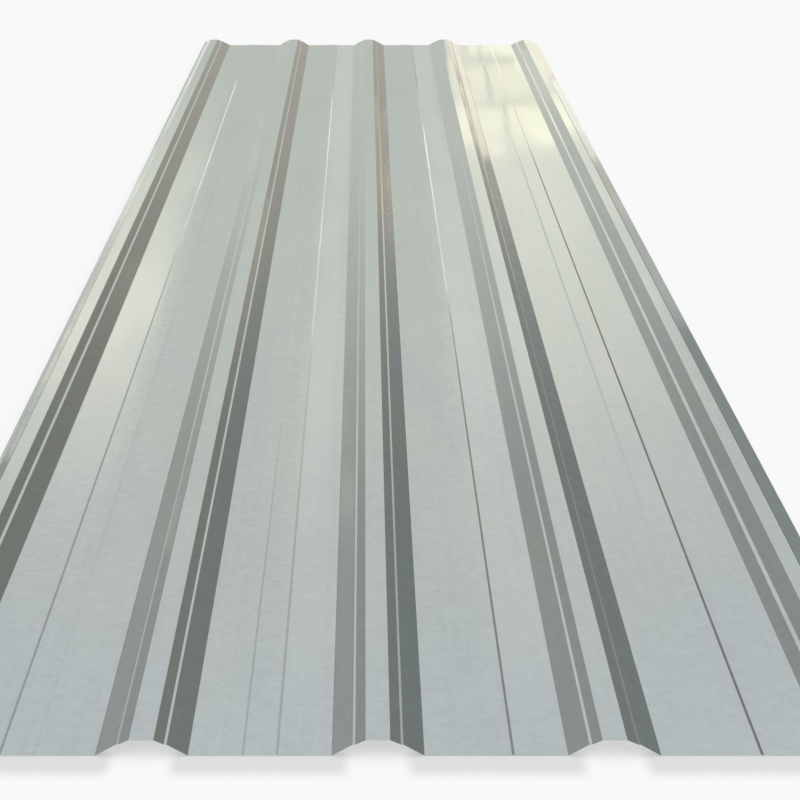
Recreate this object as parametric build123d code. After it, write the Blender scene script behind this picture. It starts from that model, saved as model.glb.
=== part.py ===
from build123d import *
import os

# Five-rib trapezoidal roofing sheet, roll formed from one strip of galvanised steel.
# Millimetres. X runs across the sheet, Y along its ribs and Z up. The sheet lies on its
# pans, with their undersides at z = 0, and the origin is under the middle of its outline.

# Whole sheet
sheet_length = 3600.0
sheet_thickness = 0.5
rib_height = 16.0

# Distances between the middles of neighbouring rib tops, from left to right
left_pitch = 230.5
inner_pitch = 215.0
right_pitch = 239.5

# The three inner ribs: each side climbs a lower web, a ledge and an upper web
rib_top_width = 22.3
lower_web_run = 18.4
lower_web_rise = 11.2
ledge_run = 3.0
ledge_rise = 0.5
upper_web_run = 9.2

# Left edge rib, which ends in a lip at ledge level
left_top_width = 18.5
left_lower_web_run = 21.4
left_ledge_run = 3.5
left_upper_web_run = 10.8
left_lip_run = 5.0

# Right edge rib, which ends in a plain leg down to pan level
right_top_width = 18.5
right_lower_web_run = 12.7
right_lower_web_rise = 7.4
right_ledge_run = 4.3
right_upper_web_run = 17.2
right_leg_run = 25.2

# A shallow raised swage runs along the middle of each pan. Its width is taken between the
# middles of its two sloping sides.
swage_width = 31.0
swage_side_run = 3.0
swage_height = 0.6

# Bends, as radii of the underside
foot_radius = 5.0
ledge_radius = 3.0
top_radius = 3.5
swage_radius = 5.0


def climb(foot_x, side, lower_run, lower_rise, shelf_run, upper_run):
    """Corners of one rib side from its foot to its top, each with its bend radius.
    side is 1 where the rib lies to the right of its foot and -1 where it lies to the left."""
    lower_x = foot_x + side * lower_run
    shelf_x = lower_x + side * shelf_run
    top_x = shelf_x + side * upper_run
    return [
        ((foot_x, 0.0), foot_radius),
        ((lower_x, lower_rise), ledge_radius),
        ((shelf_x, lower_rise + ledge_rise), ledge_radius),
        ((top_x, rib_height), top_radius),
    ]


def pan_swage(left_corners, right_corners):
    """Corners of the swage in the middle of the pan between two ribs."""
    pan_middle = (left_corners[-1][0][0] + right_corners[0][0][0]) / 2
    foot_half = (swage_width + swage_side_run) / 2
    top_half = (swage_width - swage_side_run) / 2
    return [
        ((pan_middle - foot_half, 0.0), swage_radius),
        ((pan_middle - top_half, swage_height), swage_radius),
        ((pan_middle + top_half, swage_height), swage_radius),
        ((pan_middle + foot_half, 0.0), swage_radius),
    ]


def inner_rib(middle_x):
    """Corners of one inner rib, from its left foot to its right foot."""
    half_width = rib_top_width / 2 + upper_web_run + ledge_run + lower_web_run
    sizes = (lower_web_run, lower_web_rise, ledge_run, upper_web_run)
    left_side = climb(middle_x - half_width, 1, *sizes)
    right_side = climb(middle_x + half_width, -1, *sizes)
    return left_side + right_side[::-1]


def left_edge_rib(middle_x):
    """Corners of the left edge rib, from its free lip to its foot."""
    top_left = middle_x - left_top_width / 2
    lip_x = top_left - left_upper_web_run
    free_edge = (lip_x - left_lip_run, lower_web_rise)
    half_width = left_top_width / 2 + left_upper_web_run + left_ledge_run + left_lower_web_run
    sizes = (left_lower_web_run, lower_web_rise, left_ledge_run, left_upper_web_run)
    right_side = climb(middle_x + half_width, -1, *sizes)
    outer_side = [
        (free_edge, 0.0),
        ((lip_x, lower_web_rise + ledge_rise), ledge_radius),
        ((top_left, rib_height), top_radius),
    ]
    return outer_side + right_side[::-1]


def right_edge_rib(middle_x):
    """Corners of the right edge rib, from its foot to the free edge of its leg."""
    half_run = right_lower_web_run + right_ledge_run + right_upper_web_run
    foot_x = middle_x - right_top_width / 2 - half_run
    sizes = (right_lower_web_run, right_lower_web_rise, right_ledge_run, right_upper_web_run)
    left_side = climb(foot_x, 1, *sizes)
    top_right = middle_x + right_top_width / 2
    outer_side = [
        ((top_right, rib_height), top_radius),
        ((top_right + right_leg_run, 0.0), 0.0),
    ]
    return left_side + outer_side


def underside():
    """Corners of the underside, from the left free edge to the right one."""
    ribs = [
        left_edge_rib(-inner_pitch - left_pitch),
        inner_rib(-inner_pitch),
        inner_rib(0.0),
        inner_rib(inner_pitch),
        right_edge_rib(inner_pitch + right_pitch),
    ]
    corners = list(ribs[0])
    for left_rib, right_rib in zip(ribs, ribs[1:]):
        corners += pan_swage(left_rib, right_rib)
        corners += right_rib
    return corners


def ribbed_sheet():
    """The whole sheet: its section, with a bend at each corner, drawn out along the ribs."""
    corners = underside()
    points = [point for point, _ in corners]
    radii = [radius for _, radius in corners[1:-1]]
    line = FilletPolyline(*points, radius=radii)
    outline = offset(line, amount=sheet_thickness, side=Side.LEFT, closed=True)
    section = make_face(outline)
    middle_x = section.bounding_box().center().X
    section = Plane.XZ * Pos(-middle_x, 0) * section
    return extrude(section, amount=sheet_length / 2, both=True)


os.makedirs("parts", exist_ok=True)
sheet = ribbed_sheet()
sheet.label = "ribbed_sheet"
export_step(sheet, "parts/ribbed_sheet.step")
box = sheet.bounding_box()
print("volume mm3", round(sheet.volume, 1), "box", box.min, box.max, "faces", len(sheet.faces()))
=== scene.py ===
import math

import bpy
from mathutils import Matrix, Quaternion, Vector


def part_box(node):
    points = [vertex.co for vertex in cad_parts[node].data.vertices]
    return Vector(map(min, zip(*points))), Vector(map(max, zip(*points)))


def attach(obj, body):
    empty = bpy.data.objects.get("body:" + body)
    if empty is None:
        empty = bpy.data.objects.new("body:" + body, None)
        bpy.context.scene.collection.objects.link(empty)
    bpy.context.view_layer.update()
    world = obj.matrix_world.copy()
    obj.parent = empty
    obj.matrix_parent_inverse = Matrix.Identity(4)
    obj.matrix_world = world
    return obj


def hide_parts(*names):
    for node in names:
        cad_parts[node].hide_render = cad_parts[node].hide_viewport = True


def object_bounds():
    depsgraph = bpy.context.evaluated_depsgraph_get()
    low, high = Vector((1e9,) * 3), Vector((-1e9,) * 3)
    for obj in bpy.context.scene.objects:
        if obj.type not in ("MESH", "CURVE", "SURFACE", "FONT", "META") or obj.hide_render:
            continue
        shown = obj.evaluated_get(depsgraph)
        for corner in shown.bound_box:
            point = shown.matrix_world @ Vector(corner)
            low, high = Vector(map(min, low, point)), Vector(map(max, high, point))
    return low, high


bl_info = {
    "name": "Ribbed Roofing Sheet",
    "version": (1, 0, 0),
    "blender": (4, 5, 0),
    "location": "View3D > Sidebar > Sheet",
    "description": "Rolls a galvanised trapezoidal sheet around its packed frame and lights it in a studio",
    "category": "Object",
}

# Lengths are in metres. X runs across the sheet, Y along its ribs and Z up, as in the frame.

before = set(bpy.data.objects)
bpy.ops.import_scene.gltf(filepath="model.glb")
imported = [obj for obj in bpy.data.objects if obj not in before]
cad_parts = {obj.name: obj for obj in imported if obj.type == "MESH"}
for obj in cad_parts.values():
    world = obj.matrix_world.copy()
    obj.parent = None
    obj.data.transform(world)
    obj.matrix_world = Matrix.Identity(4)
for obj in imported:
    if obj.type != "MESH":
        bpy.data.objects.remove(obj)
CAD_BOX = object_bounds()
NODE = "ribbed_sheet"
BODY = "root"

# The pans' slight waves are this much shorter across the sheet than along it
WAVE_SQUEEZE = 2.5
WAVE_SEED = 4.0

# Keeps a whole number of columns from being rounded down by one
ROUNDING = 0.0001

# Faces that meet at a sharper angle than this keep a crease between them
CREASE_ANGLE = math.radians(40)

# Cells to the metre of the coat's fine mottle, its streaks and its wide duller clouds
MOTTLE_CELLS = 260.0
STREAK_CELLS = 130.0
CLOUD_CELLS = 7.0

# Places along the sheet are multiplied by these, which draws the streaks and clouds out along it
STREAK_DRAW = 0.004
CLOUD_DRAW = 0.35

# The clouds' tone and their gloss set in between these levels of their noise
CLOUD_TONE_EDGES = (0.35, 0.65)
CLOUD_GLOSS_EDGES = (0.3, 0.7)

# How far the roughness differs between crystals, and what clear and clouded zinc add to it
CRYSTAL_GLOSS = 0.03
CLEAR_GLOSS = -0.02
CLOUD_GLOSS = 0.03

# Height of the crystals beside that of the mottle
CRYSTAL_RELIEF = 0.25

# The floor lies this far below the sheet, so that no two faces share a plane
FLOOR_DROP = 0.0002

# The painted shadow before the near edge begins and is full at these distances from the edge, and
# ends this far under the sheet
SHADOW_START = 0.042
SHADOW_FULL = 0.016
SHADOW_UNDER = 0.010

# It begins and is full at these distances from a rib's middle, and fades out from inside the
# sheet's free edges to outside them
RIB_START = 0.020
RIB_FULL = 0.036
FREE_EDGE_INSIDE = 0.02
FREE_EDGE_OUTSIDE = 0.01

# The softboxes stand this far past the far end
LAMP_GAP = 0.5

# Tints of the softboxes
CREAM = (1.0, 0.885, 0.57)
WARM = (1.0, 0.88, 0.66)
MILD = (1.0, 0.93, 0.76)
PALE = (1.0, 0.96, 0.86)
WHITE = (0.96, 1.0, 0.97)

# A softbox's turn is its roll, and the angles aside and up of the rays from the sheet that it is
# turned towards. Turns and spreads are in degrees. The levels of the window and of the softboxes
# round it are shares of the window's light level.

# The dim whole window
WINDOW_TURN = (0, 2, 12.5)
WINDOW_SPREAD = 22
WINDOW_MIDDLE = (0.395, 0.24)
WINDOW_SPANS = (0.35, 0.40)
WINDOW_LEVEL = 0.32

# The panes over it: left, right, bottom and top, and the level that each adds
PANES = (
    (0.220, 0.314, 0.040, 0.138, 0.27),
    (0.330, 0.570, 0.040, 0.138, 0.27),
    (0.220, 0.322, 0.163, 0.277, 0.38),
    (0.338, 0.570, 0.163, 0.277, 0.33),
    (0.220, 0.353, 0.310, 0.458, 0.53),
    (0.369, 0.570, 0.310, 0.438, 0.60),
)

# Steps of light that stand on the floor and rise to the right: each one's middle, width and height
STEP_TURN = (0, 11.5, 5.5)
STEP_SPREAD = 30
STEP_LEVEL = 0.85
STEPS = (
    (0.355, 0.13, 0.12),
    (0.455, 0.07, 0.17),
    (0.525, 0.07, 0.215),
    (0.625, 0.13, 0.238),
)

# Softboxes round the window, and one on the left: name, middle, spans, turn, spread, level and tint
SIDE_SOFTBOXES = (
    ("right_return", (0.25, 0.17), (0.20, 0.22), (0, -8.5, 9), 18, 0.12, CREAM),
    ("right_edge", (0.84, 0.07), (0.28, 0.14), (0, 13.5, 3), 30, 0.82, PALE),
    ("right_edge_far", (1.30, 0.16), (0.64, 0.12), (-11, 18, 4), 26, 0.28, PALE),
    ("right_glow", (0.50, 1.25), (0.38, 1.60), (7, 2.5, 15), 26, 0.39, WARM),
    ("left_glow", (-0.68, 1.20), (0.36, 1.90), (-7, -3, 20.3), 16, 0.47, WARM),
)

# Rows of softboxes for single facets: the facet's place across, the lean in degrees of the rays that
# leave it, the steps of their reach, the row's width, how much it widens with each metre that it
# goes out, its spread in degrees, its own light level and its tint
FACET_ROWS = (
    # The left edge rib's outer flank, brighter towards the camera
    (-0.469, -53.2, (0.19, 0.23, 0.28), 0.06, 0.0, 10, 0.34, PALE),
    (-0.469, -53.2, (0.28, 0.34, 0.41), 0.06, 0.0, 10, 0.57, PALE),
    (-0.469, -53.2, (0.41, 0.50), 0.06, 0.0, 10, 0.80, PALE),
    # One side of the swage in each of the first three pans, and both in the fourth
    (-0.3535, -29.0, (0.215, 0.265, 0.325), 0.05, 0.0, 8, 0.75, WHITE),
    (-0.1013, 22.0, (0.21, 0.255, 0.305, 0.36), 0.05, 0.0, 8, 0.75, WHITE),
    (0.1137, 27.0, (0.235, 0.285, 0.34), 0.05, 0.0, 8, 0.75, WHITE),
    (0.3095, -13.5, (0.19, 0.225, 0.265), 0.05, 0.0, 8, 0.25, CREAM),
    (0.3405, 31.4, (0.19, 0.225, 0.265), 0.05, 0.0, 10, 0.50, CREAM),
    # The flat strip between the swage and the next rib in the second pan
    (-0.0754, -0.56, (0.17, 0.23, 0.29, 0.36, 0.45), 0.048, 0.022, 16, 0.10, WHITE),
    (-0.0754, -0.56, (0.45, 0.54, 0.64), 0.048, 0.022, 16, 0.05, WHITE),
    # The same strip in the third pan
    (0.1396, 4.96, (0.17, 0.23, 0.29), 0.048, 0.022, 16, 0.10, WHITE),
    (0.1396, 4.96, (0.29, 0.36, 0.45), 0.048, 0.022, 16, 0.14, WHITE),
    (0.1396, 4.96, (0.45, 0.54, 0.64), 0.048, 0.022, 16, 0.05, WHITE),
)

# The room's light goes by a ray's height, which is the upward part of its direction, its lean to
# the right of upright in degrees, and its reach, which is its way across and up over its way along.
# These least parts keep the lean and the reach from a division by nothing.
LEAST_UP = 0.001
LEAST_ALONG = 0.02

# Where the light ahead brightens above the horizon, and where it turns into the light overhead
HORIZON_HEIGHTS = (0.12, 0.34)
OVERHEAD_HEIGHTS = (0.55, 0.85)

# Where the screens begin on each side, and the reaches over which both fade out
RIGHT_LEANS = (14, 31)
LEFT_LEANS = (17, 34)
SCREEN_REACHES = (0.8, 1.5)

# Where the screens are brighter far off, the right one low down, and the left one dimmer high up
# and brighter in a patch
RIGHT_FAR_REACHES = (0.14, 0.46)
LEFT_FAR_REACHES = (0.22, 0.47)
RIGHT_LOW_LEANS = (73, 78)
LEFT_HIGH_LEANS = (-66, -48)
PATCH_LEANS = (-61, -52)
PATCH_REACHES = (0.40, 0.52)

# How bright each of these places is beside the rest, and what the patch has besides
HORIZON_GAIN = 0.86
RIGHT_FAR_GAIN = 1.77
LEFT_FAR_GAIN = 1.50
RIGHT_LOW_GAIN = 1.28
LEFT_HIGH_GAIN = 0.90
PATCH_GAIN = 0.14

# The room's tint by the reach of a ray: greenish and warm far off, then nearly white
ROOM_TINTS = (
    (0.26, (0.965, 1.01, 0.93, 1.0)),
    (0.44, (0.995, 1.0, 0.95, 1.0)),
    (0.53, (0.988, 1.0, 0.98, 1.0)),
    (0.66, (0.975, 1.0, 1.03, 1.0)),
    (1.0, (0.99, 1.0, 1.0, 1.0)),
)

# The left screen's tint and how far it replaces the room's, and the right screen's tints near by,
# far off and low down, with where the last two set in
LEFT_TINT = (1.0, 1.01, 0.94, 1.0)
LEFT_TINT_SHARE = 0.7
RIGHT_TINT = (1.01, 1.0, 0.90, 1.0)
RIGHT_FAR_TINT = (1.06, 1.0, 0.86, 1.0)
RIGHT_LOW_TINT = (0.90, 1.0, 0.98, 1.0)
FAR_TINT_REACHES = (0.24, 0.48)
LOW_TINT_LEANS = (40, 70)
LOW_TINT_REACHES = (0.20, 0.46)

# The camera sees this far, which is past the floor's far edge
SIGHT = 1000.0


# Node trees

class Wire:
    """An output socket of a tree. Arithmetic on wires and numbers adds Math nodes to that tree."""

    def __init__(self, graph, socket):
        self.graph = graph
        self.socket = socket

    def math(self, operation, *values):
        """What one Math node makes of this wire and the other values."""
        inputs = dict(enumerate((self, *values)))
        return self.graph.add("ShaderNodeMath", {"operation": operation}, inputs)["Value"]

    def __add__(self, other):
        return self.math("ADD", other)

    def __radd__(self, other):
        return self.math("ADD", other)

    def __sub__(self, other):
        return self.math("SUBTRACT", other)

    def __rsub__(self, other):
        return -self + other

    def __mul__(self, other):
        return self.math("MULTIPLY", other)

    def __rmul__(self, other):
        return self.math("MULTIPLY", other)

    def __truediv__(self, other):
        return self.math("DIVIDE", other)

    def __rtruediv__(self, other):
        return self.math("POWER", -1.0) * other

    def __neg__(self):
        return self.math("MULTIPLY", -1.0)

    def __abs__(self):
        return self.math("ABSOLUTE")

    def floor(self):
        return self.math("FLOOR")

    def at_least(self, other):
        return self.math("MAXIMUM", other)

    def ramp(self, low, high, start=0.0, end=1.0):
        """Eases from start to end while the wire goes from low to high."""
        inputs = {"Value": self, "From Min": low, "From Max": high, "To Min": start, "To Max": end}
        return self.graph.add("ShaderNodeMapRange", {"interpolation_type": "SMOOTHSTEP"}, inputs)["Result"]


class Node:
    """A finished node, whose outputs are read by name or identifier as wires."""

    def __init__(self, graph, node):
        self.graph = graph
        self.node = node

    def __getitem__(self, key):
        return Wire(self.graph, find_socket(self.node.outputs, key))


class Graph:
    """A node tree being written, for a material, a world or geometry."""

    def __init__(self, tree):
        self.tree = tree
        tree.nodes.clear()

    def add(self, kind, settings=None, inputs=None):
        """Adds a node. Its settings are set first, and then its sockets get values or wires."""
        node = self.tree.nodes.new(kind)
        for name, value in (settings or {}).items():
            if name == "stops":
                set_stops(node.color_ramp, value)
            else:
                setattr(node, name, value)
        for key, value in (inputs or {}).items():
            socket = find_socket(node.inputs, key)
            if isinstance(value, Wire):
                self.tree.links.new(value.socket, socket)
            else:
                socket.default_value = value
        return Node(self, node)

    def mix(self, factor, first, second):
        """Colour between two colours."""
        inputs = {"Factor_Float": factor, "A_Color": first, "B_Color": second}
        return self.add("ShaderNodeMix", {"data_type": "RGBA"}, inputs)["Result_Color"]

    def tint(self, colour, level):
        """A colour times a level."""
        return self.add("ShaderNodeVectorMath", {"operation": "SCALE"}, {0: colour, "Scale": level})["Vector"]

    def vector(self, x, y, z):
        """A vector of three numbers or wires."""
        return self.add("ShaderNodeCombineXYZ", {}, {"X": x, "Y": y, "Z": z})["Vector"]

    def axes(self, vector):
        """The three parts of a vector, as wires."""
        parts = self.add("ShaderNodeSeparateXYZ", {}, {"Vector": vector})
        return parts["X"], parts["Y"], parts["Z"]

    def noise(self, place, cells, detail, roughness):
        """Smooth noise from 0 to 1, with so many cells to the metre."""
        inputs = {"Vector": place, "Scale": cells, "Detail": detail, "Roughness": roughness}
        return self.add("ShaderNodeTexNoise", {"noise_dimensions": "3D"}, inputs)["Fac"]


def find_socket(sockets, key):
    """A socket by its place, identifier or name."""
    if isinstance(key, int):
        return sockets[key]
    for socket in sockets:
        if socket.identifier == key:
            return socket
    for socket in sockets:
        if socket.name == key and socket.enabled:
            return socket
    raise KeyError(f"the node has no socket {key}")


def set_stops(ramp, stops):
    """Gives a colour ramp its (place, colour) stops."""
    for element, (place, colour) in zip(ramp.elements, stops[:2]):
        element.position = place
        element.color = colour
    for place, colour in stops[2:]:
        ramp.elements.new(place).color = colour


# Sizes, colours and light levels that a user may change

def size(name, description, default):
    """A length in metres."""
    return bpy.props.FloatProperty(
        name=name, description=description, default=default, unit="LENGTH", precision=5
    )


def share(name, description, default, highest=1.0):
    """A plain number from nothing to its highest value."""
    return bpy.props.FloatProperty(name=name, description=description, default=default, min=0.0, max=highest)


def colour(name, description, default):
    """A linear colour."""
    return bpy.props.FloatVectorProperty(
        name=name, description=description, default=default, subtype="COLOR", size=4, min=0.0, max=1.0
    )


class SheetSizes(bpy.types.PropertyGroup):
    """Sizes of the section, its bends and the mesh"""

    length: size("Length", "Length of the sheet along its ribs", CAD_BOX[1].y - CAD_BOX[0].y)
    thickness: size("Thickness", "Thickness of the rolled strip", 0.0005)
    rib_height: size("Rib height", "Height of the rib tops' undersides over the pans'", 0.0160)
    left_pitch: size("Left pitch", "From the left edge rib to the next", 0.2305)
    inner_pitch: size("Inner pitch", "From one inner rib to the next", 0.215)
    right_pitch: size("Right pitch", "From the last inner rib to the right edge rib", 0.2395)
    top_width: size("Rib top", "Width of an inner rib's top", 0.0223)
    lower_run: size("Lower web run", "Width of an inner rib's lower web, seen from above", 0.0184)
    lower_rise: size("Lower web rise", "Height of an inner rib's lower web", 0.0112)
    ledge_run: size("Ledge run", "Width of the ledge between the webs", 0.0030)
    ledge_rise: size("Ledge rise", "Fall of every ledge towards its foot", 0.0005)
    upper_run: size("Upper web run", "Width of an inner rib's upper web, seen from above", 0.0092)
    edge_top_width: size("Edge rib top", "Width of the two edge ribs' tops", 0.0185)
    left_lower_run: size("Left lower web run", "Width of the left edge rib's lower web", 0.0214)
    left_ledge_run: size("Left ledge run", "Width of the left edge rib's ledge", 0.0035)
    left_upper_run: size("Left upper web run", "Width of the left edge rib's upper webs", 0.0108)
    left_lip_run: size("Left lip", "Width of the left edge rib's free lip", 0.0050)
    right_lower_run: size("Right lower web run", "Width of the right edge rib's lower web", 0.0127)
    right_lower_rise: size("Right lower web rise", "Height of the right edge rib's lower web", 0.0074)
    right_ledge_run: size("Right ledge run", "Width of the right edge rib's ledge", 0.0043)
    right_upper_run: size("Right upper web run", "Width of the right edge rib's upper web", 0.0172)
    right_leg_run: size("Right leg run", "Width of the right edge rib's free leg", 0.0252)
    swage_width: size("Swage width", "Between the middles of the swage's sloping sides", 0.031)
    swage_side_run: size("Swage side run", "Width of one sloping side", 0.0030)
    swage_height: size("Swage height", "Height of the swage over its pan", 0.0006)
    foot_bend: size("Foot bend", "Radius at a rib's foot", 0.005)
    ledge_bend: size("Ledge bend", "Radius at a ledge", 0.003)
    top_bend: size("Top bend", "Radius at a rib's top", 0.0035)
    swage_bend: size("Swage bend", "Radius at the swage's sides", 0.005)
    stations: bpy.props.IntProperty(name="Stations", description="Cross-sections along the sheet", default=61)
    bend_steps: bpy.props.IntProperty(name="Bend steps", description="Points round each bend", default=5)
    flat_step: size("Flat step", "Widest face across a flat", 0.011)
    wave_height: size("Wave height", "Height of the pans' slight waves", 0.0005)
    wave_length: size("Wave length", "Length of the pans' slight waves", 0.45)


class SheetFinish(bpy.types.PropertyGroup):
    """Colours and patterns of the zinc coat"""

    zinc: colour("Zinc", "Colour of the bare zinc coat", (0.64, 0.68, 0.67, 1.0))
    dull_zinc: colour("Dull zinc", "Colour where the coat is slightly duller", (0.61, 0.655, 0.66, 1.0))
    gloss: share("Roughness", "Roughness of the zinc coat", 0.10)
    spangle_size: size("Spangle size", "Size of the zinc crystals", 0.009)
    spangle: share("Spangle", "How far the crystals differ in brightness", 0.05)
    grain: share("Grain", "Strength of the fine mottle", 0.05)
    streaks: share("Streaks", "Strength of the fine streaks left along the sheet by rolling", 0.08)
    relief: size("Relief", "Height of the crystals and the mottle", 0.00001)
    bow: share("Bow", "Rise of the faces' slight bow one metre from the sheet's middle, in metres", 0.1716)


class Studio(bpy.types.PropertyGroup):
    """Floor, light levels and camera"""

    floor: colour("Floor", "Colour of the floor", (0.55, 0.55, 0.55, 1.0))
    floor_glow: share("Floor glow", "Light that the pale floor adds where the camera or gloss sees it", 0.46)
    floor_reach: size("Floor reach", "Half the width of the floor", 400.0)
    edge_shadow: share("Edge shadow", "How much darker the floor is right before the near edge", 0.22)
    overhead: share("Overhead", "Light level of the studio overhead", 1.15, highest=4.0)
    ahead: share("Ahead", "Light level along the sheet, above its ends", 0.72, highest=4.0)
    left_flag: share("Left flag", "Light level of the grey screen on the left", 0.42, highest=4.0)
    right_flag: share("Right flag", "Light level of the dark screen on the right", 0.26, highest=4.0)
    window: share("Window", "Light level of the window-like softbox past the far end", 0.80, highest=8.0)
    eye_height: size("Eye height", "Height of the camera", 0.874)
    eye_back: size("Eye back", "Distance of the camera from the near edge", 1.3013)
    eye_side: size("Eye side", "Sideways place of the camera", -0.0216)
    pitch: bpy.props.FloatProperty(
        name="Pitch", description="Downward tilt of the camera", default=math.radians(21.98), subtype="ANGLE"
    )
    lens: bpy.props.FloatProperty(name="Lens", description="Focal length in millimetres", default=75.94)
    shift: bpy.props.FloatProperty(name="Shift", description="Sideways shift of lens", default=0.0444)


# Section of the sheet, from left to right

def climb(foot, side, lower_run, lower_rise, shelf_run, upper_run, sizes):
    """Corners of one rib side from its foot to its top, as (x, z, bend, slack)."""
    lower = foot + side * lower_run
    shelf = lower + side * shelf_run
    return [
        (foot, 0.0, sizes.foot_bend, 0.0),
        (lower, lower_rise, sizes.ledge_bend, 0.0),
        (shelf, lower_rise + sizes.ledge_rise, sizes.ledge_bend, 0.0),
        (shelf + side * upper_run, sizes.rib_height, sizes.top_bend, 0.0),
    ]


def inner_rib(middle, sizes):
    """A rib between two pans, the same on both sides."""
    half = sizes.top_width / 2 + sizes.upper_run + sizes.ledge_run + sizes.lower_run
    runs = (sizes.lower_run, sizes.lower_rise, sizes.ledge_run, sizes.upper_run)
    return climb(middle - half, 1, *runs, sizes) + climb(middle + half, -1, *runs, sizes)[::-1]


def left_edge_rib(middle, sizes):
    """The edge rib that ends in a lip at ledge level."""
    top_half = sizes.edge_top_width / 2
    top_left = middle - top_half
    lip = top_left - sizes.left_upper_run
    runs = (sizes.left_lower_run, sizes.lower_rise, sizes.left_ledge_run, sizes.left_upper_run)
    foot = middle + top_half + sizes.left_upper_run + sizes.left_ledge_run + sizes.left_lower_run
    outer = [
        (lip - sizes.left_lip_run, sizes.lower_rise, 0.0, 0.0),
        (lip, sizes.lower_rise + sizes.ledge_rise, sizes.ledge_bend, 0.0),
        (top_left, sizes.rib_height, sizes.top_bend, 0.0),
    ]
    return outer + climb(foot, -1, *runs, sizes)[::-1]


def right_edge_rib(middle, sizes):
    """The edge rib that ends in a full leg."""
    top_half = sizes.edge_top_width / 2
    top_right = middle + top_half
    runs = (sizes.right_lower_run, sizes.right_lower_rise, sizes.right_ledge_run, sizes.right_upper_run)
    foot = middle - top_half - sizes.right_upper_run - sizes.right_ledge_run - sizes.right_lower_run
    outer = [
        (top_right, sizes.rib_height, sizes.top_bend, 0.0),
        (top_right + sizes.right_leg_run, 0.0, 0.0, 0.0),
    ]
    return climb(foot, 1, *runs, sizes) + outer


def pan_swage(left, right, sizes):
    """The swage of the pan between two ribs. The pan is slackest along it."""
    middle = (left[-1][0] + right[0][0]) / 2
    foot_half = (sizes.swage_width + sizes.swage_side_run) / 2
    top_half = (sizes.swage_width - sizes.swage_side_run) / 2
    return [
        (middle - foot_half, 0.0, sizes.swage_bend, 1.0),
        (middle - top_half, sizes.swage_height, sizes.swage_bend, 1.0),
        (middle + top_half, sizes.swage_height, sizes.swage_bend, 1.0),
        (middle + foot_half, 0.0, sizes.swage_bend, 1.0),
    ]


def middle_rib_place(sizes):
    """Where the middle rib stands across, so that the right edge's outer corner meets the frame's."""
    leg_end = sizes.inner_pitch + sizes.right_pitch + sizes.edge_top_width / 2 + sizes.right_leg_run
    leg_tilt = math.atan2(sizes.rib_height, sizes.right_leg_run)
    right_edge = leg_end + sizes.thickness * math.sin(leg_tilt)
    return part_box(NODE)[1].x - right_edge


def section_corners(sizes):
    """Every corner of the underside, centred across the frame."""
    ribs = [
        left_edge_rib(-sizes.inner_pitch - sizes.left_pitch, sizes),
        inner_rib(-sizes.inner_pitch, sizes),
        inner_rib(0.0, sizes),
        inner_rib(sizes.inner_pitch, sizes),
        right_edge_rib(sizes.inner_pitch + sizes.right_pitch, sizes),
    ]
    corners = list(ribs[0])
    for left, right in zip(ribs, ribs[1:]):
        corners += pan_swage(left, right, sizes) + right
    shift = middle_rib_place(sizes)
    return [(x + shift, z, bend, slack) for x, z, bend, slack in corners]


def section_line(corners):
    """The corners joined into a line, with their bend radii and slackness as attributes."""
    mesh = bpy.data.meshes.new("section_line")
    points = [(x, 0.0, z) for x, z, _, _ in corners]
    mesh.from_pydata(points, [(i, i + 1) for i in range(len(points) - 1)], [])
    bends = [bend for _, _, bend, _ in corners]
    slacks = [slack for _, _, _, slack in corners]
    for name, values in (("bend", bends), ("slack", slacks)):
        mesh.attributes.new(name, "FLOAT", "POINT").data.foreach_set("value", values)
    line = bpy.data.objects.new("section_line", mesh)
    bpy.context.scene.collection.objects.link(line)
    return line


# Roll forming: a section line becomes a long sheet surface

def corner_value(graph, name):
    """A number that the section line keeps at each corner."""
    settings = {"data_type": "FLOAT"}
    return graph.add("GeometryNodeInputNamedAttribute", settings, {"Name": name})["Attribute"]


def bent_line(graph, given):
    """The section line with a bend at each corner, and its flats cut into narrow steps."""
    index = graph.add("GeometryNodeInputIndex")["Index"]
    place = graph.add("GeometryNodeInputPosition")["Position"]
    line = graph.add("GeometryNodeMeshToCurve", {}, {"Mesh": given["Geometry"]})["Curve"]
    bends = {
        "Curve": line,
        "Count": given["Bend Steps"],
        "Radius": corner_value(graph, "bend"),
        "Limit Radius": True,
    }
    line = graph.add("GeometryNodeFilletCurve", {"mode": "POLY"}, bends)["Curve"]
    at_next = graph.add(
        "GeometryNodeFieldAtIndex", {"data_type": "FLOAT_VECTOR"}, {"Value": place, "Index": index + 1}
    )["Value"]
    gap = graph.add("ShaderNodeVectorMath", {"operation": "DISTANCE"}, {0: place, 1: at_next})["Value"]
    cuts = (gap / given["Flat Step"]).floor()
    return graph.add("GeometryNodeSubdivideCurve", {}, {"Curve": line, "Cuts": cuts})["Curve"]


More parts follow.
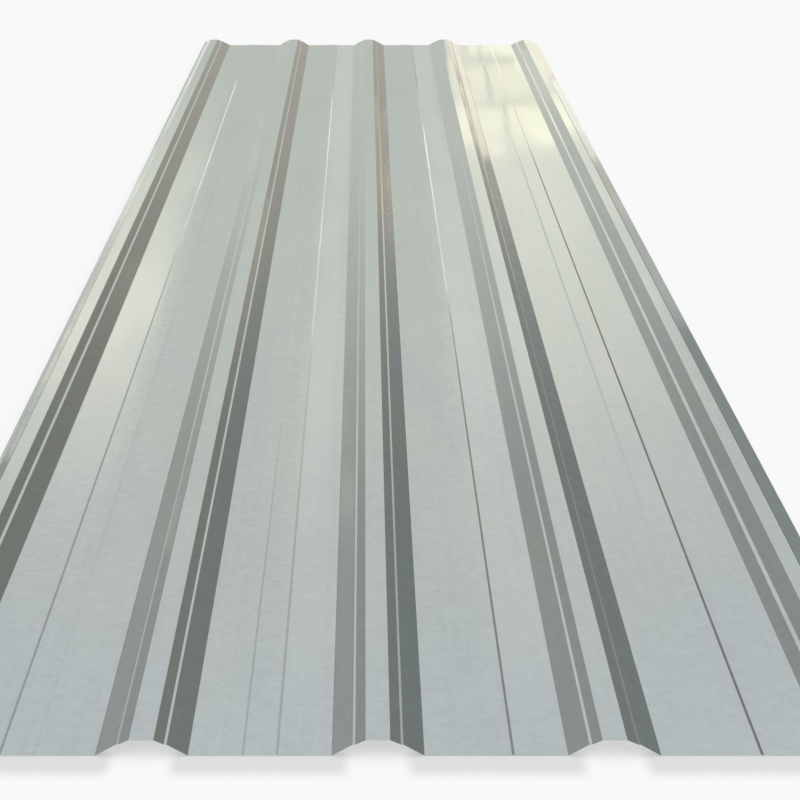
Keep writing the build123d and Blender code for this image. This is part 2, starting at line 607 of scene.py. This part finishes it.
def drawn_sheet(graph, given, line):
    """A grid with a column for each point of the line, drawn out along Y. It waves a little where
    the line is slack."""
    index = graph.add("GeometryNodeInputIndex")["Index"]
    place = graph.add("GeometryNodeInputPosition")["Position"]
    totals = graph.add("GeometryNodeAttributeDomainSize", {"component": "CURVE"}, {"Geometry": line})
    ranks = {
        "Size X": 1.0,
        "Size Y": given["Length"],
        "Vertices X": totals["Point Count"],
        "Vertices Y": given["Stations"],
    }
    grid = graph.add("GeometryNodeMeshGrid", {}, ranks)["Mesh"]
    column = (index / given["Stations"] + ROUNDING).floor()

    def on_line(kind, value):
        """What the line has at the point that this column stands for."""
        settings = {"data_type": kind, "domain": "POINT"}
        inputs = {"Geometry": line, "Value": value, "Index": column}
        return graph.add("GeometryNodeSampleIndex", settings, inputs)["Value"]

    across, _, height = graph.axes(on_line("FLOAT_VECTOR", place))
    slack = on_line("FLOAT", corner_value(graph, "slack"))
    _, along, _ = graph.axes(place)
    wave_place = graph.vector(across * WAVE_SQUEEZE, along, given["Seed"])
    wave = graph.noise(wave_place, 1.0 / given["Wave Length"], detail=1.0, roughness=0.4)
    rolled = graph.vector(across, along, height + wave * slack * given["Wave Height"])
    return graph.add("GeometryNodeSetPosition", {}, {"Geometry": grid, "Position": rolled})["Geometry"]


def rolling_tree():
    """Geometry nodes that bend a section line at its corners and draw it out along Y."""
    tree = bpy.data.node_groups.new("Roll Forming", "GeometryNodeTree")
    ports = (
        ("Geometry", "NodeSocketGeometry"),
        ("Length", "NodeSocketFloat"),
        ("Stations", "NodeSocketInt"),
        ("Bend Steps", "NodeSocketInt"),
        ("Flat Step", "NodeSocketFloat"),
        ("Wave Height", "NodeSocketFloat"),
        ("Wave Length", "NodeSocketFloat"),
        ("Seed", "NodeSocketFloat"),
        ("Material", "NodeSocketMaterial"),
    )
    for name, kind in ports:
        tree.interface.new_socket(name, in_out="INPUT", socket_type=kind)
    tree.interface.new_socket("Geometry", in_out="OUTPUT", socket_type="NodeSocketGeometry")
    graph = Graph(tree)
    given = graph.add("NodeGroupInput")
    sheet = drawn_sheet(graph, given, bent_line(graph, given))
    sheet = graph.add("GeometryNodeSetShadeSmooth", {}, {"Geometry": sheet, "Shade Smooth": True})["Geometry"]
    sheet = graph.add("GeometryNodeRealizeInstances", {}, {"Geometry": sheet})["Geometry"]
    coated = {"Geometry": sheet, "Material": given["Material"]}
    sheet = graph.add("GeometryNodeSetMaterial", {}, coated)["Geometry"]
    graph.add("NodeGroupOutput", {}, {"Geometry": sheet})
    return tree


def run_tree(target, tree, values):
    """Puts a geometry tree on an object and fills in its inputs."""
    modifier = target.modifiers.new(tree.name, "NODES")
    modifier.node_group = tree
    for item in tree.interface.items_tree:
        if item.in_out == "INPUT" and item.name in values:
            modifier[item.identifier] = values[item.name]


def plain_copy(source, name):
    """The object's evaluated mesh as a new object at the origin. The source is removed."""
    depsgraph = bpy.context.evaluated_depsgraph_get()
    evaluated = source.evaluated_get(depsgraph)
    mesh = bpy.data.meshes.new_from_object(evaluated, preserve_all_data_layers=True, depsgraph=depsgraph)
    mesh.name = name
    bpy.data.objects.remove(source)
    copy = bpy.data.objects.new(name, mesh)
    bpy.context.scene.collection.objects.link(copy)
    return copy


# Finish

def new_material(name):
    """An empty material, and its node tree to write."""
    material = bpy.data.materials.new(name)
    material.use_nodes = True
    return material, Graph(material.node_tree)


def zinc_coat(finish):
    """Hot-dip galvanised steel: fine crystals, a fine mottle and faint streaks along the sheet.
    A wide, weak bump lets the flat strips lean a little towards the middle, as slack sheet does."""
    material, graph = new_material("Galvanised Steel")
    place = graph.add("ShaderNodeTexCoord")["Object"]
    across, along, height = graph.axes(place)

    crystals = graph.add(
        "ShaderNodeTexVoronoi",
        {"feature": "F1"},
        {"Vector": place, "Scale": 1.0 / finish.spangle_size, "Randomness": 1.0},
    )
    crystal_tone = graph.axes(crystals["Color"])[0] - 0.5
    mottle = graph.noise(place, MOTTLE_CELLS, detail=3.0, roughness=0.6) - 0.5
    streak_place = graph.vector(across, along * STREAK_DRAW, height)
    streak = graph.noise(streak_place, STREAK_CELLS, detail=3.0, roughness=0.5) - 0.5
    cloud_place = graph.vector(across, along * CLOUD_DRAW, height)
    cloud = graph.noise(cloud_place, CLOUD_CELLS, detail=2.0, roughness=0.5)

    tone = crystal_tone * finish.spangle + mottle * finish.grain + streak * finish.streaks + 1.0
    zinc = graph.mix(cloud.ramp(*CLOUD_TONE_EDGES), finish.zinc, finish.dull_zinc)
    coat = graph.tint(zinc, tone)
    cloud_gloss = cloud.ramp(*CLOUD_GLOSS_EDGES, CLEAR_GLOSS, CLOUD_GLOSS)
    roughness = crystal_tone * CRYSTAL_GLOSS + cloud_gloss + finish.gloss
    hollow = across * across * finish.bow
    rise = hollow + (crystal_tone * CRYSTAL_RELIEF + mottle) * finish.relief
    bump = graph.add("ShaderNodeBump", {}, {"Strength": 1.0, "Distance": 1.0, "Height": rise})["Normal"]
    surface = graph.add(
        "ShaderNodeBsdfPrincipled",
        {},
        {"Base Color": coat, "Metallic": 1.0, "Roughness": roughness, "Normal": bump},
    )["BSDF"]
    graph.add("ShaderNodeOutputMaterial", {}, {"Surface": surface})
    return material


def shadow_before_pans(across, along, sizes):
    """How full the painted soft shadow before the near edge is, from 0 to 1: full before the pans
    and nothing before the ribs."""
    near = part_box(NODE)[0]
    from_rib = (across - middle_rib_place(sizes)).math("PINGPONG", sizes.inner_pitch / 2)
    pans = from_rib.ramp(RIB_START, RIB_FULL)
    inside = abs(across).ramp(-near.x - FREE_EDGE_INSIDE, -near.x + FREE_EDGE_OUTSIDE, 1.0, 0.0)
    before = along.ramp(near.y - SHADOW_START, near.y - SHADOW_FULL)
    under = along.ramp(near.y, near.y + SHADOW_UNDER, 1.0, 0.0)
    return before * under * pans * inside


def floor_paint(studio, sizes):
    """A matt floor that looks pale to the camera and in reflections, and keeps the sheet's shadow.
    A soft shadow is also painted into its colour before the near edge of the pans."""
    material, graph = new_material("Pale Floor")
    across, along, _ = graph.axes(graph.add("ShaderNodeTexCoord")["Object"])
    # Painted shadow: the floor's colour and glow are darkened before the near edge of the pans
    tone = 1.0 - shadow_before_pans(across, along, sizes) * studio.edge_shadow
    ray = graph.add("ShaderNodeLightPath")
    seen = ray["Is Camera Ray"].at_least(ray["Is Glossy Ray"]).at_least(ray["Is Transmission Ray"])
    glow = graph.mix(seen, (0.0, 0.0, 0.0, 1.0), (studio.floor_glow,) * 3 + (1.0,))
    surface = graph.add(
        "ShaderNodeBsdfPrincipled",
        {},
        {
            "Base Color": graph.tint(studio.floor[:3], tone),
            "Roughness": 0.9,
            "Specular IOR Level": 0.0,
            "Emission Color": graph.tint(glow, tone),
            "Emission Strength": 1.0,
        },
    )["BSDF"]
    graph.add("ShaderNodeOutputMaterial", {}, {"Surface": surface})
    return material


# Studio

def room_level(studio, height, lean, reach, left, right):
    """The room's light level: brightest overhead and softer ahead, with a screen on each side that
    is brighter far off."""
    ahead = height.ramp(*HORIZON_HEIGHTS, HORIZON_GAIN, 1.0) * studio.ahead
    middle = ahead + height.ramp(*OVERHEAD_HEIGHTS) * (studio.overhead - studio.ahead)
    right_far = reach.ramp(*RIGHT_FAR_REACHES, RIGHT_FAR_GAIN, 1.0)
    right_low = lean.ramp(*RIGHT_LOW_LEANS, 1.0, RIGHT_LOW_GAIN)
    right_screen = right_far * right_low * studio.right_flag
    left_far = reach.ramp(*LEFT_FAR_REACHES, LEFT_FAR_GAIN, 1.0)
    left_high = lean.ramp(*LEFT_HIGH_LEANS, 1.0, LEFT_HIGH_GAIN)
    patch = 1.0 + PATCH_GAIN * lean.ramp(*PATCH_LEANS) * reach.ramp(*PATCH_REACHES, 1.0, 0.0)
    left_screen = left_far * left_high * patch * studio.left_flag
    return middle + right * (right_screen - middle) + left * (left_screen - middle)


def room_tint(graph, lean, reach, left, right):
    """The room's tint, which differs with the reach and on each screen."""
    tint = graph.add("ShaderNodeValToRGB", {"stops": ROOM_TINTS}, {"Fac": reach})["Color"]
    tint = graph.mix(left * LEFT_TINT_SHARE, tint, LEFT_TINT)
    far = reach.ramp(*FAR_TINT_REACHES, 1.0, 0.0)
    low = lean.ramp(*LOW_TINT_LEANS) * reach.ramp(*LOW_TINT_REACHES)
    right_tint = graph.mix(low, graph.mix(far, RIGHT_TINT, RIGHT_FAR_TINT), RIGHT_LOW_TINT)
    return graph.mix(right, tint, right_tint)


def studio_world(studio):
    """Soft light all round, with a level and a tint for each direction."""
    world = bpy.data.worlds.new("Studio")
    bpy.context.scene.world = world
    world.use_nodes = True
    graph = Graph(world.node_tree)
    x, y, z = graph.axes(graph.add("ShaderNodeTexCoord")["Generated"])
    up = z.at_least(LEAST_UP)
    lean = x.math("ARCTAN2", up).math("DEGREES")
    reach = (x * x + up * up).math("SQRT") / abs(y).at_least(LEAST_ALONG)
    beside = reach.ramp(*SCREEN_REACHES, 1.0, 0.0)
    right = lean.ramp(*RIGHT_LEANS) * beside
    left = (-lean).ramp(*LEFT_LEANS) * beside
    level = room_level(studio, z, lean, reach, left, right)
    tint = room_tint(graph, lean, reach, left, right)
    background = graph.add("ShaderNodeBackground", {}, {"Color": graph.tint(tint, level), "Strength": 1.0})
    graph.add("ShaderNodeOutputWorld", {}, {"Surface": background["Background"]})


def gridded_softbox(name, middle, spans, turn, spread, level, tint):
    """A softbox past the far end, turned towards light rays that leave the sheet aside and up by
    the turn's angles. Its grid keeps the light within a narrow spread."""
    lamp = bpy.data.lights.new(name, "AREA")
    lamp.shape = "RECTANGLE"
    lamp.size, lamp.size_y = spans
    lamp.color = tint
    lamp.spread = math.radians(spread)
    # A narrow spread makes the softbox brighter head on by this gain, so its power is so much less
    half = lamp.spread / 2
    gain = math.tan(half) / (math.tan(half) - half)
    lamp.energy = level * math.pi * lamp.size * lamp.size_y / gain
    box = bpy.data.objects.new(name, lamp)
    box.location = (middle[0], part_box(NODE)[1].y + LAMP_GAP, middle[1])
    roll, aside, up = (math.radians(angle) for angle in turn)
    aim = Vector((-math.sin(aside) * math.cos(up), -math.cos(aside) * math.cos(up), -math.sin(up)))
    facing = aim.to_track_quat("-Z", "Y") @ Quaternion((0.0, 0.0, 1.0), roll)
    box.rotation_euler = facing.to_euler()
    bpy.context.scene.collection.objects.link(box)


def light_window(studio):
    """A dim window on the right, brighter panes over it that leave the bars of its grid between
    them, and steps of light low down that are turned further aside."""
    dim = studio.window * WINDOW_LEVEL
    gridded_softbox("window", WINDOW_MIDDLE, WINDOW_SPANS, WINDOW_TURN, WINDOW_SPREAD, dim, CREAM)
    for left, right, bottom, top, portion in PANES:
        middle = ((left + right) / 2, (bottom + top) / 2)
        spans = (right - left, top - bottom)
        level = studio.window * portion
        gridded_softbox("window_pane", middle, spans, WINDOW_TURN, WINDOW_SPREAD, level, CREAM)
    for middle_x, width, top in STEPS:
        middle = (middle_x, top / 2)
        level = studio.window * STEP_LEVEL
        gridded_softbox("window_step", middle, (width, top), STEP_TURN, STEP_SPREAD, level, MILD)


def light_sides(studio):
    """Softboxes round the window: low ones for the right edge rib and the webs, and tall glows."""
    for name, middle, spans, turn, spread, portion, tint in SIDE_SOFTBOXES:
        gridded_softbox(name, middle, spans, turn, spread, studio.window * portion, tint)


def light_facets(studio):
    """Rows of narrow softboxes, each of which only one long facet mirrors to the camera. A ray runs
    down from the camera to the facet and out to the softboxes with one reach all the way, so each
    softbox covers one step of the reach."""
    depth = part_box(NODE)[1].y + LAMP_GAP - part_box(NODE)[0].y + studio.eye_back
    for start, lean, reaches, width, fan, spread, level, tint in FACET_ROWS:
        fall = math.hypot(start - studio.eye_side, studio.eye_height)
        across = math.sin(math.radians(lean))
        rise = math.cos(math.radians(lean))
        for low, high in zip(reaches, reaches[1:]):
            reach = (low + high) / 2
            out = depth * reach - fall
            aside = math.atan(reach * across)
            up = math.atan(reach * rise * math.cos(aside))
            middle = (start + out * across, out * rise)
            spans = (width + fan * out, depth * (high - low))
            turn = (lean, math.degrees(aside), math.degrees(up))
            gridded_softbox("facet_light", middle, spans, turn, spread, level, tint)


def lay_floor(studio, sizes):
    """A wide level floor just under the sheet."""
    reach = studio.floor_reach
    mesh = bpy.data.meshes.new("studio_floor")
    corners = [(x * reach, y * reach, 0.0) for x, y in ((-1, -1), (1, -1), (1, 1), (-1, 1))]
    mesh.from_pydata(corners, [], [(0, 1, 2, 3)])
    mesh.materials.append(floor_paint(studio, sizes))
    floor = bpy.data.objects.new("studio_floor", mesh)
    floor.location.z = -FLOOR_DROP
    bpy.context.scene.collection.objects.link(floor)


def place_camera(studio):
    """The camera before the near edge, looking along the sheet and down."""
    lens = bpy.data.cameras.new("camera")
    lens.lens = studio.lens
    lens.shift_x = studio.shift
    lens.clip_end = SIGHT
    camera = bpy.data.objects.new("camera", lens)
    near_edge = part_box(NODE)[0].y
    camera.location = (studio.eye_side, near_edge - studio.eye_back, studio.eye_height)
    camera.rotation_euler = (math.radians(90) - studio.pitch, 0.0, 0.0)
    bpy.context.scene.collection.objects.link(camera)
    bpy.context.scene.camera = camera


# Operators and panel

class SHEET_OT_roll(bpy.types.Operator):
    """Roll the galvanised sheet and put it in place of the plain one"""

    bl_idname = "sheet.roll"
    bl_label = "Roll Sheet"

    def execute(self, context):
        sizes = context.scene.sheet_sizes
        line = section_line(section_corners(sizes))
        values = {
            "Length": sizes.length,
            "Stations": sizes.stations,
            "Bend Steps": sizes.bend_steps,
            "Flat Step": sizes.flat_step,
            "Wave Height": sizes.wave_height,
            "Wave Length": sizes.wave_length,
            "Seed": WAVE_SEED,
            "Material": zinc_coat(context.scene.sheet_finish),
        }
        run_tree(line, rolling_tree(), values)
        wall = line.modifiers.new("wall", "SOLIDIFY")
        wall.thickness = sizes.thickness
        wall.offset = 1.0
        wall.use_even_offset = True
        sheet = plain_copy(line, "galvanised_sheet")
        if not sheet.data.polygons:
            raise RuntimeError("the section line was rolled into a sheet with no faces")
        sheet.data.set_sharp_from_angle(angle=CREASE_ANGLE)
        weigh = sheet.modifiers.new("flat_faces_first", "WEIGHTED_NORMAL")
        weigh.keep_sharp = True
        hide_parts(NODE)
        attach(sheet, BODY)
        return {"FINISHED"}


class SHEET_OT_stage(bpy.types.Operator):
    """Lay the floor, light the studio and set up the camera"""

    bl_idname = "sheet.stage"
    bl_label = "Set Stage"

    def execute(self, context):
        studio = context.scene.sheet_studio
        lay_floor(studio, context.scene.sheet_sizes)
        studio_world(studio)
        light_window(studio)
        light_sides(studio)
        light_facets(studio)
        place_camera(studio)
        context.scene.view_settings.view_transform = "Standard"
        return {"FINISHED"}


class SHEET_PT_panel(bpy.types.Panel):
    """Lists the sheet's sizes, finish and studio, and the operators that make them"""

    bl_idname = "SHEET_PT_panel"
    bl_label = "Roofing Sheet"
    bl_space_type = "VIEW_3D"
    bl_region_type = "UI"
    bl_category = "Sheet"

    def draw(self, context):
        groups = (context.scene.sheet_sizes, context.scene.sheet_finish, context.scene.sheet_studio)
        for group in groups:
            box = self.layout.box()
            for name in group.bl_rna.properties.keys():
                if name not in ("rna_type", "name"):
                    box.prop(group, name)
        self.layout.operator("sheet.roll")
        self.layout.operator("sheet.stage")


CLASSES = (SheetSizes, SheetFinish, Studio, SHEET_OT_roll, SHEET_OT_stage, SHEET_PT_panel)


def register():
    for cls in CLASSES:
        bpy.utils.register_class(cls)
    bpy.types.Scene.sheet_sizes = bpy.props.PointerProperty(type=SheetSizes)
    bpy.types.Scene.sheet_finish = bpy.props.PointerProperty(type=SheetFinish)
    bpy.types.Scene.sheet_studio = bpy.props.PointerProperty(type=Studio)


def unregister():
    del bpy.types.Scene.sheet_studio
    del bpy.types.Scene.sheet_finish
    del bpy.types.Scene.sheet_sizes
    for cls in reversed(CLASSES):
        bpy.utils.unregister_class(cls)


def main():
    register()
    bpy.ops.sheet.roll()
    bpy.ops.sheet.stage()


if __name__ == "__main__":
    main()
